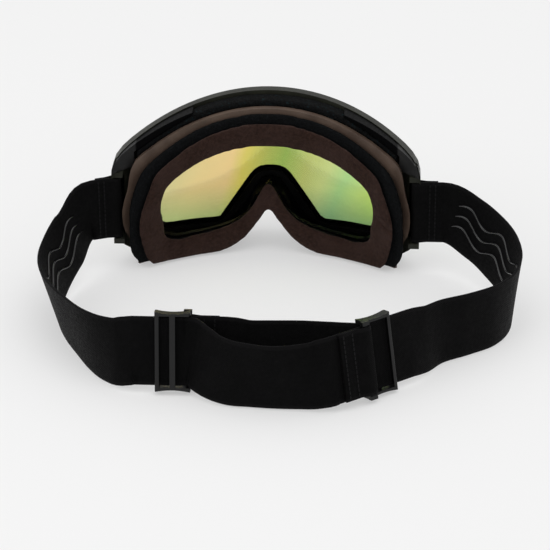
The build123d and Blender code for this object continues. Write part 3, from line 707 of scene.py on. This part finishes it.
def lens_sheet(name, radius, thickness, material):
    """Smooth curved lens in place of a CAD node."""
    bm = bmesh.new()
    outline = front_outline(name, radius)
    bm.faces.new([bm.verts.new((x, 0, z)) for x, z in outline])
    for k in range(-LENS_STRIPS, LENS_STRIPS + 1):
        cut = bm.verts[:] + bm.edges[:] + bm.faces[:]
        bmesh.ops.bisect_plane(bm, geom=cut, plane_co=(k * LENS_STRIP, 0, 0), plane_no=(1, 0, 0))
    for vertex in bm.verts:
        vertex.co.y = LENS_AXIS - math.sqrt(radius * radius - vertex.co.x**2)
    mesh = bpy.data.meshes.new(name)
    bm.to_mesh(mesh)
    bm.free()
    mesh.materials.append(material)
    piece = bpy.data.objects.new(f"{name}_sheet", mesh)
    bpy.context.scene.collection.objects.link(piece)
    for polygon in mesh.polygons:
        polygon.use_smooth = True
    if mesh.polygons[0].normal.y > 0:
        mesh.flip_normals()
    body = piece.modifiers.new("body", "SOLIDIFY")
    body.thickness = thickness
    body.offset = -1
    body.use_even_offset = False
    edge = piece.modifiers.new("edge", "BEVEL")
    edge.width = min(0.0003, thickness * 0.3)
    edge.segments = 2
    edge.limit_method = "ANGLE"
    edge.angle_limit = math.radians(60)
    edge.harden_normals = True
    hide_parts(name)
    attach(piece, "lens")


# ---- Webbing --------------------------------------------------------------------------------------
def width_direction(heading, lean, side):
    """Direction of the webbing's width where its top edge leans outward by so many degrees."""
    turn, tilt = math.radians(heading), math.radians(lean)
    outward = Vector((side * math.sin(turn), -side * math.cos(turn), 0))
    return outward * math.sin(tilt) + Vector((0, 0, math.cos(tilt)))


def section(place, tangent, width):
    """Middle point, sideways direction and width direction of a section across the webbing."""
    tangent = Vector(tangent).normalized()
    upright = (width - tangent * width.dot(tangent)).normalized()
    return Vector(place), upright.cross(tangent), upright


def slopes(values, gaps, start, end):
    """Slope at each value of a smooth curve that passes through them all."""
    inner = []
    for k in range(1, len(values) - 1):
        before = (values[k] - values[k - 1]) * (gaps[k] / gaps[k - 1])
        after = (values[k + 1] - values[k]) * (gaps[k - 1] / gaps[k])
        inner.append((before + after) / (gaps[k - 1] + gaps[k]))
    return [start, *inner, end]


def course(stations, start, end, side, step):
    """Sections along the smooth curve through the stations, from one direction to another."""
    points = [Vector(station[:3]) for station in stations]
    leans = [station[3] for station in stations]
    gaps = [(after - before).length for before, after in zip(points, points[1:])]
    point_slopes = slopes(points, gaps, Vector(start), Vector(end))
    lean_slopes = slopes(leans, gaps, 0, 0)
    sections = []
    for k, gap in enumerate(gaps):
        count = max(2, round(gap / step))
        for n in range(count + (k == len(gaps) - 1)):
            t = n / count
            a, b = (1 + 2 * t) * (1 - t) ** 2, t * (1 - t) ** 2 * gap
            c, d = t * t * (3 - 2 * t), t * t * (t - 1) * gap
            place = points[k] * a + point_slopes[k] * b + points[k + 1] * c + point_slopes[k + 1] * d
            lean = leans[k] * a + lean_slopes[k] * b + leans[k + 1] * c + lean_slopes[k + 1] * d
            heading = (points[k + 1] - points[k]) * (6 * t * (1 - t) / gap)
            heading += point_slopes[k] * (1 - t) * (1 - 3 * t) + point_slopes[k + 1] * t * (3 * t - 2)
            width = width_direction(math.degrees(math.atan2(heading.y, heading.x)), lean, side)
            sections.append(section(place, heading, width))
    return sections


def slider_axes(word):
    """Centre and the three directions of a slider's own frame."""
    place = SLIDER[word]
    turn = math.radians(place["heading"])
    along = Vector((math.cos(turn), math.sin(turn), 0))
    width = width_direction(place["heading"], place["lean"], SIDE[word])
    return Vector(place["centre"]), along, width.cross(along), width


def pin_axes(word):
    """Middle of a strap's pin, the way its webbing leaves it and the way across the hem's layers."""
    turn = math.radians(HEM_ANGLE[word])
    along = Vector((math.cos(turn), math.sin(turn), 0))
    over = Vector((-math.sin(turn), math.cos(turn), 0)) * SIDE[word]
    return Vector((*PIN[word], STRAP_HEIGHT)), along, over


def hem_sections(word):
    """Sections from the turned-back end of the hem, round the pin and out of the hem again."""
    origin, along, over = pin_axes(word)
    tilt = math.degrees(math.atan2(PIN_WRAP - HEM_LAYER, HEM_NECK - HEM_SHOULDER)) / 2
    back = [(HEM, -HEM_LAYER, 180), (11.0, -HEM_LAYER, 180), (HEM_NECK + 1, -HEM_LAYER, 180)]
    back += [(HEM_NECK, -HEM_LAYER - 0.05, 180 + tilt), (HEM_SHOULDER, -PIN_WRAP, 180 + tilt)]
    loop = [
        (PIN_WRAP * math.cos(math.radians(a)), PIN_WRAP * math.sin(math.radians(a)), a - 90)
        for a in range(270, 89, -20)
    ]
    away = [(x, -y, 180 - heading) for x, y, heading in reversed(back)]
    sections = []
    for x, y, heading in back + loop + away:
        way = math.radians(HEM_ANGLE[word] + SIDE[word] * heading)
        place = origin + along * x + over * y
        sections.append(section(place, (math.cos(way), math.sin(way), 0), Vector((0, 0, 1))))
    return sections


def run_sections(word):
    """Sections from the hem to the straight stretch before the strap's own slider."""
    origin, pin_along, pin_over = pin_axes(word)
    centre, along, _, _ = slider_axes(word)
    leave = origin + pin_along * (HEM + HEM_TAIL) + pin_over * HEM_LAYER
    enter = centre - along * STRAIGHT
    stations = [(*leave, 0), *RUN[word], (*enter, SLIDER[word]["lean"])]
    return course(stations, pin_along, along, SIDE[word], WEB_STEP)


def fold_sections(word):
    """Sections of the sewn end on a slider, from where it meets its strap, round the bar and back."""
    centre, along, over, width = slider_axes(word)
    low, high = SEWN_BAR_Y - SEWN_WRAP, SEWN_BAR_Y + SEWN_WRAP
    back = low + WEB_THICKNESS + LAYER_GAP
    path = [(x, low, 180) for x in (SEWN_LENGTH, 22, 18, 14, 11)]
    for angle in range(270, 89, -20):
        across, out = math.cos(math.radians(angle)), math.sin(math.radians(angle))
        path.append((SEWN_TURN + SEWN_WRAP * across, SEWN_BAR_Y + SEWN_WRAP * out, angle - 90))
    path += [(10.4, high - 0.1, -10), (13.0, (high + back) / 2, -29), (15.4, back + 0.1, -10)]
    path += [(18, back, 0), (22, back, 0), (SEWN_LENGTH, back, 0)]
    sections = []
    for x, y, heading in path:
        way = math.radians(heading)
        place = centre + along * x + over * y
        sections.append(section(place, along * math.cos(way) + over * math.sin(way), width))
    return sections


def webbing_profile(corner=0.55, across=14):
    """Rounded rectangle of the webbing's section: sideways and width offsets, and the place across it."""
    half, high = WEB_THICKNESS / 2, WEB_WIDTH / 2
    ends = [(corner * math.sin(a), corner * (1 - math.cos(a))) for a in (0, math.pi / 4, math.pi / 2)]
    right = [(half - corner + u, high - v) for u, v in ends]
    down = [(half, high - corner - (2 * high - 2 * corner) * k / across) for k in range(1, across)]
    bottom = [(x, -y) for x, y in reversed(right)]
    one = right + down + bottom
    return one + [(-x, -y) for x, y in one]


def make_webbing(word, other, material):
    """One continuous webbing, from its hem at the frame to its sewn end on the other slider."""
    side = SIDE[word]
    centre, along, _, _ = slider_axes(word)
    far_centre, far_along, far_over, _ = slider_axes(other)
    lean, far_lean = SLIDER[word]["lean"], SLIDER[other]["lean"]
    enter = centre - along * STRAIGHT
    depart = centre + along * STRAIGHT_BEYOND[word]
    arrive = far_centre + far_along * SEWN_END + far_over * (SEWN_BAR_Y - SEWN_WRAP)
    sections = hem_sections(word) + run_sections(word)
    sections += course([(*enter, lean), (*depart, lean)], along, along, side, 2 * WEB_STEP)[1:-1]
    stations = [(*depart, lean), *LAYER[word], (*arrive, far_lean)]
    sections += course(stations, along, -far_along, side, WEB_STEP) + fold_sections(other)
    profile = webbing_profile()
    rings, lengths, travelled = [], [], 0.0
    for k, (place, across, upright) in enumerate(sections):
        if k:
            travelled += (place - sections[k - 1][0]).length
        lengths.append(travelled)
        rings.append([(place + across * x + upright * y) * MM for x, y in profile])
    vertices, faces = tube(rings)
    piece = new_piece(f"webbing_{word}", vertices, faces, material)
    uv = piece.data.uv_layers.new(name="plan")
    size = len(profile)
    for loop in piece.data.loops:
        row, column = divmod(loop.vertex_index, size)
        uv.data[loop.index].uv = (lengths[row] * MM, profile[column][1] * MM)
    return piece


def make_beads(word, material):
    """Raised wavy beads of silicone on the wearer's side of a strap."""
    side = SIDE[word]
    first, last = BEAD_SPAN[word]
    sections = run_sections(word)[first:last]
    vertices, faces = [], []
    for row in (-1, 0, 1):
        travelled, rings = 0.0, []
        for k, (place, across, upright) in enumerate(sections):
            if k:
                travelled += (place - sections[k - 1][0]).length
                swing = BEAD_SWING * math.sin(2 * math.pi * travelled / BEAD_WAVE)
            else:
                swing = 0.0
            end = min(k, len(sections) - 1 - k)
            size = 1.0 if end > 1 else 0.55 + 0.25 * end
            ring = []
            for n in range(BEAD_SIDES):
                angle = 2 * math.pi * n / BEAD_SIDES
                high = side * (WEB_THICKNESS / 2 + BEAD_HEIGHT * size * max(-0.2, math.cos(angle)))
                wide = row * BEAD_SPACING + swing + BEAD_WIDTH / 2 * size * math.sin(angle)
                ring.append((place + across * high + upright * wide) * MM)
            rings.append(ring)
        new_vertices, new_faces = tube(rings)
        faces += [tuple(index + len(vertices) for index in face) for face in new_faces]
        vertices += new_vertices
    piece = new_piece(f"beads_{word}", vertices, faces, material)
    bm = bmesh.new()
    bm.from_mesh(piece.data)
    bmesh.ops.recalc_face_normals(bm, faces=bm.faces)
    bm.to_mesh(piece.data)
    bm.free()
    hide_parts(f"grip_beads_{word}")
    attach(piece, "goggles")
    subdivide(piece)


bpy.context.preferences.edit.use_global_undo = False
make_camera()
make_studio()
MATERIAL = make_materials()

finish_node("frame_chassis", MATERIAL["frame"], 0.0005)
finish_node("rear_flange", MATERIAL["flange"], 0.0009)
finish_node("corner_cover_left", MATERIAL["cover"], 0.0006)
finish_node("corner_cover_right", MATERIAL["cover"], 0.0006)
finish_node("slider_left", MATERIAL["slider"], 0.00045)
finish_node("slider_right", MATERIAL["slider"], 0.00045)
finish_node("lens_carrier", MATERIAL["carrier"], 0.0003)
finish_node("lens_spacer", MATERIAL["gasket"])
lens_sheet("lens_outer", 0.115, 0.0015, MATERIAL["lens"])
lens_sheet("lens_inner", 0.1115, 0.0009, MATERIAL["inner_lens"])
for node in ("frame_magnets", "lens_magnets"):
    finish_node(node, MATERIAL["magnet"], 0.0002)
for word in ("left", "right"):
    finish_node(f"strap_pin_{word}", MATERIAL["pin"])
    make_beads(word, MATERIAL["silicone"])
    finish_node(f"hem_stitching_{word}", MATERIAL["thread"], 0.0001)
    finish_node(f"end_stitching_{word}", MATERIAL["thread"], 0.0001)
held = on_seat(*FLEECE_SEAT)
fleece = soft_piece(
    "face_fleece", MATERIAL["fleece"], voxel=0.0014, inset=0.0005, rounds=10, most=0.0016,
    held=held,
)
stretch(fleece, raised=0.002, lowered=0.0023, rest=0.0008, spread=0.001)
press(fleece, *NOSE_CREASE, width=0.0011, depth=0.0016)
press(fleece, *SIDE_CREASE, width=0.0013, depth=0.0011)
subdivide(fleece)
held = on_seat(*FOAM_SEAT)
base = soft_piece(
    "foam_base", MATERIAL["foam"], voxel=0.0018, inset=0.0004, rounds=8, most=0.0009,
    held=held,
)
stretch(base, raised=0.0022, lowered=0.0, rest=0.0002, spread=0.0055)
subdivide(base)
vent = soft_piece(
    "vent_foam_top", MATERIAL["vent_foam"], voxel=0.0014, inset=0.0002, rounds=2, most=0.0004,
)
subdivide(vent)
soft_piece(
    "vent_foam_bottom", MATERIAL["vent_foam"], voxel=0.0006, inset=0.0001, rounds=1, most=0.0002,
)

for word, other in (("left", "right"), ("right", "left")):
    piece = make_webbing(word, other, MATERIAL["webbing"])
    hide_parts(f"strap_{word}", f"strap_end_{other}")
    if word == "left":
        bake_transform(piece)
    else:
        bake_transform(piece)
